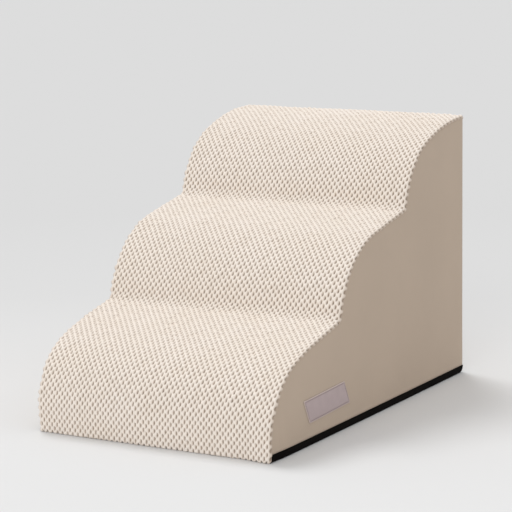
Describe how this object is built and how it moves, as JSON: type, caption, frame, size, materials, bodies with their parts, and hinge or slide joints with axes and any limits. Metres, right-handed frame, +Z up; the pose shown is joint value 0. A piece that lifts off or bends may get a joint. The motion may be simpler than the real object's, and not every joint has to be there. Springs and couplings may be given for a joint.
{
  "type": "pet stairs",
  "caption": "Foam pet stairs with rounded steps, a textured knit cover, smooth side and rear panels, an anti-slip base and a rear zip for taking the cover off.",
  "frame": {"origin": "on the floor, below the middle of the whole object's box", "axes": "+Z up; -Y is the front, at the lowest step; +Y is the tall rear face with the zip; +X is the right side, with the label patch"},
  "size_m": [0.3808, 0.6058, 0.4],
  "materials": {
    "tread_knit": "matte",
    "side_fabric": "matte",
    "base_fabric": "matte",
    "support_foam": "matte",
    "comfort_foam": "matte",
    "zip_tape": "matte",
    "zip_coil": "satin",
    "zip_metal": "satin",
    "label_cloth": "matte",
    "label_thread": "matte",
    "care_satin": "satin"
  },
  "bodies": {
    "covered_foam": {"support_foam_core": "support_foam", "comfort_foam_layer": "comfort_foam", "tread_panel": "tread_knit", "left_side_panel": "side_fabric", "right_side_panel": "side_fabric", "rear_panel": "side_fabric", "base_panel": "base_fabric", "zip_tape_upper": "zip_tape", "zip_tape_lower": "zip_tape", "zip_coil_upper": "zip_coil", "zip_coil_lower": "zip_coil", "zip_top_stops": "zip_metal", "zip_bottom_stop": "zip_metal", "label_patch": "label_cloth", "label_stitching": "label_thread", "care_label": "care_satin"},
    "zip_slider": {"zip_slider": "zip_metal"},
    "zip_pull": {"zip_pull": "zip_metal"}
  },
  "joints": [
    {"name": "zip_slide", "type": "slide", "parent": "covered_foam", "child": "zip_slider", "axis": [-1, 0, 0], "range_m": [0, 0.3216], "deforming": ["zip_coil_upper", "zip_coil_lower", "zip_tape_upper", "zip_tape_lower"]},
    {"name": "zip_pull_swing", "type": "hinge", "parent": "zip_slider", "child": "zip_pull", "pos_m": [0.1615, 0.30075, 0.03], "axis": [0, 0, -1], "range_deg": [0, 180]}
  ]
}
